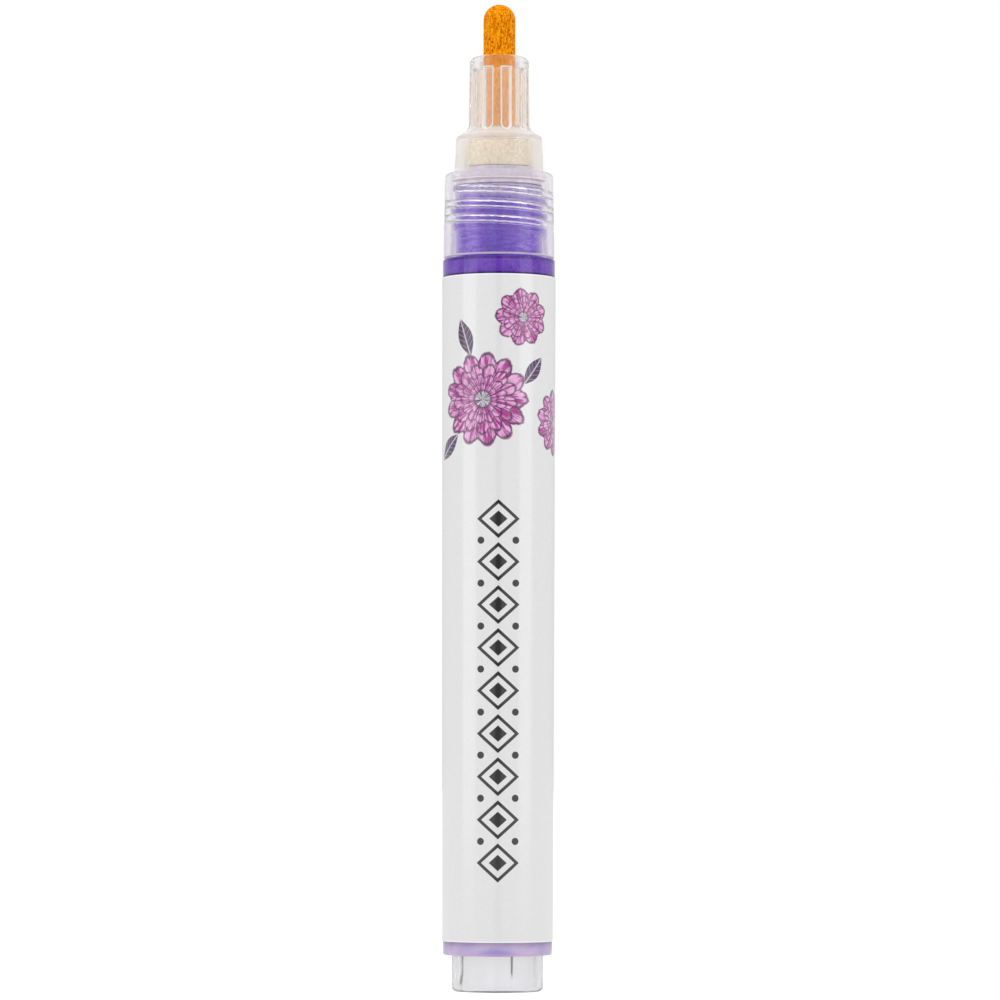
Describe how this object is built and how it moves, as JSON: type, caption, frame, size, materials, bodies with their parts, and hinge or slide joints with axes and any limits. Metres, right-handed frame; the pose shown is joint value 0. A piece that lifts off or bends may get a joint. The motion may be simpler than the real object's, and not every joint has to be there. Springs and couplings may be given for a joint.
{
  "type": "nail art pen",
  "caption": "Uncapped valve-action paint marker for nail art: clear ink barrel, screw collar, fluted nib holder, fibre nib and open end plug.",
  "frame": {"origin": "centre of the end plug's foot, on the pen's axis", "axes": "+Z along the pen's axis from the end plug to the nib; -Y out of the front of the label, as pictured; +X to the right of that view"},
  "size_m": [0.0142, 0.0142, 0.1232],
  "materials": {
    "barrel_plastic": "clear polished moulding",
    "label_film": "white satin film",
    "plug_plastic": "clear polished moulding",
    "ball_steel": "polished",
    "collar_plastic": "clear, slightly milky moulding",
    "gasket_rubber": "translucent matt rubber",
    "nose_plastic": "milky translucent moulding",
    "sponge_fibre": "cream fibre",
    "valve_plastic": "natural moulding",
    "spring_steel": "drawn wire",
    "stem_plastic": "natural moulding",
    "seal_rubber": "matt rubber",
    "nib_fibre": "bonded orange fibre"
  },
  "bodies": {
    "barrel": {"barrel": "barrel_plastic", "label": "label_film", "end_plug": "plug_plastic"},
    "nose_unit": {"nose_cone": "nose_plastic", "neck_gasket": "gasket_rubber", "buffer_sponge": "sponge_fibre", "valve_housing": "valve_plastic", "spring_retainer": "valve_plastic", "valve_spring": "spring_steel"},
    "screw_collar": {"screw_collar": "collar_plastic"},
    "valve_plunger": {"valve_stem": "stem_plastic", "valve_seal": "seal_rubber"},
    "nib": {"nib": "nib_fibre"},
    "mixing_ball_1": {"mixing_ball_1": "ball_steel"},
    "mixing_ball_2": {"mixing_ball_2": "ball_steel"}
  },
  "joints": [
    {"name": "nose_lift", "type": "slide", "parent": "barrel", "child": "nose_unit", "axis": [0, 0, 1], "range_m": [0, 0.00549]},
    {"name": "collar_turn", "type": "hinge", "parent": "nose_unit", "child": "screw_collar", "pos_m": [0, 0, 0.0913], "axis": [0, 0, -1], "range_deg": [0, 1100]},
    {"name": "nib_press", "type": "slide", "parent": "nose_unit", "child": "valve_plunger", "axis": [0, 0, -1], "range_m": [0, 0.002], "stiffness_N_per_m": 250, "springref_m": -0.002, "deforming": ["valve_spring"]},
    {"name": "nib_pull", "type": "slide", "parent": "valve_plunger", "child": "nib", "axis": [0, 0, 1], "range_m": [0, 0.018]},
    {"name": "ball_1_travel", "type": "slide", "parent": "barrel", "child": "mixing_ball_1", "axis": [0, 0, 1], "range_m": [0, 0.069]},
    {"name": "ball_2_travel", "type": "slide", "parent": "barrel", "child": "mixing_ball_2", "axis": [0, 0, 1], "range_m": [0, 0.069]}
  ],
  "couplings": [
    {"joint": "collar_turn", "follows": "nose_lift", "rad_per_m": 3433.4}
  ]
}
